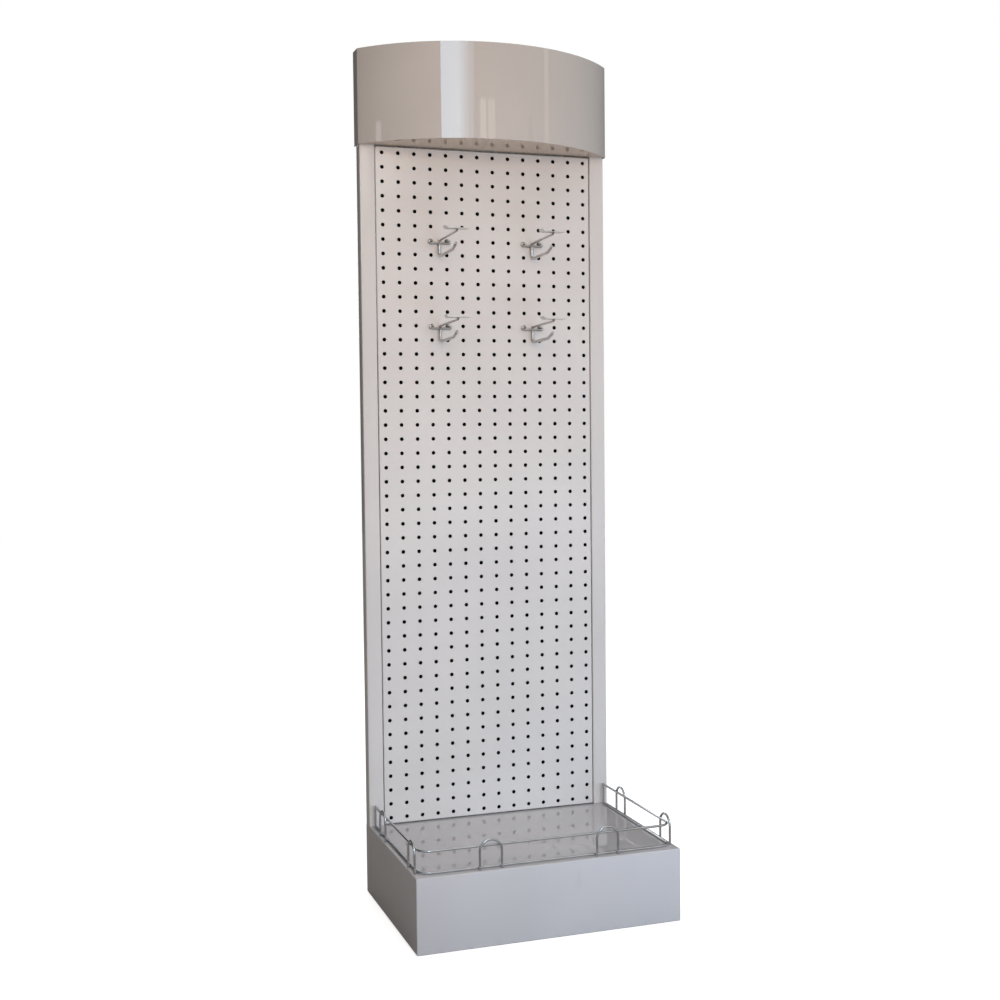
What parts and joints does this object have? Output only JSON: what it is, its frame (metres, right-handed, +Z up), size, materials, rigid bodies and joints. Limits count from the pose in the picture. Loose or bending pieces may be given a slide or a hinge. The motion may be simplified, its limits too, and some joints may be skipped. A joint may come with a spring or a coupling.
{
  "type": "pegboard display stand",
  "caption": "Free-standing perforated steel panel on a box base with a wire fence, a curved header and tilting wire hooks with label plates.",
  "frame": {"origin": "on the floor under the middle of the base", "axes": "+Z up, the panel and the hooks face -Y, +X to the right as the stand faces you"},
  "size_m": [0.4712, 0.339, 1.5093],
  "materials": {
    "powder_coat": "semi-gloss warm light grey powder coat",
    "galvanised_steel": "plain galvanised",
    "black_nylon": "moulded",
    "fence_zinc": "bright zinc-plated wire",
    "hook_zinc": "bright zinc-plated wire and sheet"
  },
  "bodies": {
    "stand": {"base_back": "powder_coat", "base_cover": "powder_coat", "base_rail_front": "galvanised_steel", "base_rail_rear": "galvanised_steel", "deck_stiffener": "galvanised_steel", "glide_front_left": "black_nylon", "glide_front_right": "black_nylon", "glide_rear_left": "black_nylon", "glide_rear_right": "black_nylon", "header_bracket_left": "galvanised_steel", "header_bracket_right": "galvanised_steel", "header_fascia": "powder_coat", "header_screw_left": "galvanised_steel", "header_screw_right": "galvanised_steel", "header_top": "powder_coat", "header_underside": "powder_coat", "panel_rail_bottom": "galvanised_steel", "panel_rail_middle": "galvanised_steel", "panel_rail_top": "galvanised_steel", "panel_screw_bottom_left": "galvanised_steel", "panel_screw_bottom_right": "galvanised_steel", "panel_screw_top_left": "galvanised_steel", "panel_screw_top_right": "galvanised_steel", "peg_panel": "powder_coat", "spigot_bolt_left": "galvanised_steel", "spigot_bolt_right": "galvanised_steel", "spigot_left": "galvanised_steel", "spigot_right": "galvanised_steel", "upright_left": "powder_coat", "upright_plug_left": "black_nylon", "upright_plug_right": "black_nylon", "upright_right": "powder_coat"},
    "fence": {"fence_top_rail": "fence_zinc", "fence_bottom_rail": "fence_zinc", "fence_post_left": "fence_zinc", "fence_post_right": "fence_zinc", "hoop_front_left": "fence_zinc", "hoop_front_right": "fence_zinc", "hoop_left_front": "fence_zinc", "hoop_left_rear": "fence_zinc", "hoop_right_front": "fence_zinc", "hoop_right_rear": "fence_zinc"},
    "hook_upper_left": {"hook_upper_left_saddle": "hook_zinc", "hook_upper_left_arm": "hook_zinc", "hook_upper_left_label_arm": "hook_zinc", "hook_upper_left_label_plate": "hook_zinc"},
    "hook_upper_right": {"hook_upper_right_saddle": "hook_zinc", "hook_upper_right_arm": "hook_zinc", "hook_upper_right_label_arm": "hook_zinc", "hook_upper_right_label_plate": "hook_zinc"},
    "hook_lower_left": {"hook_lower_left_saddle": "hook_zinc", "hook_lower_left_arm": "hook_zinc", "hook_lower_left_label_arm": "hook_zinc", "hook_lower_left_label_plate": "hook_zinc"},
    "hook_lower_right": {"hook_lower_right_saddle": "hook_zinc", "hook_lower_right_arm": "hook_zinc", "hook_lower_right_label_arm": "hook_zinc", "hook_lower_right_label_plate": "hook_zinc"}
  },
  "joints": [
    {"name": "fence_lift", "type": "slide", "parent": "stand", "child": "fence", "axis": [0, 0, 1], "range_m": [0, 0.02]},
    {"name": "hook_upper_left_tilt", "type": "hinge", "parent": "stand", "child": "hook_upper_left", "pos_m": [-0.0885, 0.1461, 1.1921], "axis": [-1, 0, 0], "range_deg": [0, 60]},
    {"name": "hook_upper_right_tilt", "type": "hinge", "parent": "stand", "child": "hook_upper_right", "pos_m": [0.0885, 0.1461, 1.1921], "axis": [-1, 0, 0], "range_deg": [0, 60]},
    {"name": "hook_lower_left_tilt", "type": "hinge", "parent": "stand", "child": "hook_lower_left", "pos_m": [-0.0885, 0.1461, 1.0397], "axis": [-1, 0, 0], "range_deg": [0, 60]},
    {"name": "hook_lower_right_tilt", "type": "hinge", "parent": "stand", "child": "hook_lower_right", "pos_m": [0.0885, 0.1461, 1.0397], "axis": [-1, 0, 0], "range_deg": [0, 60]}
  ]
}
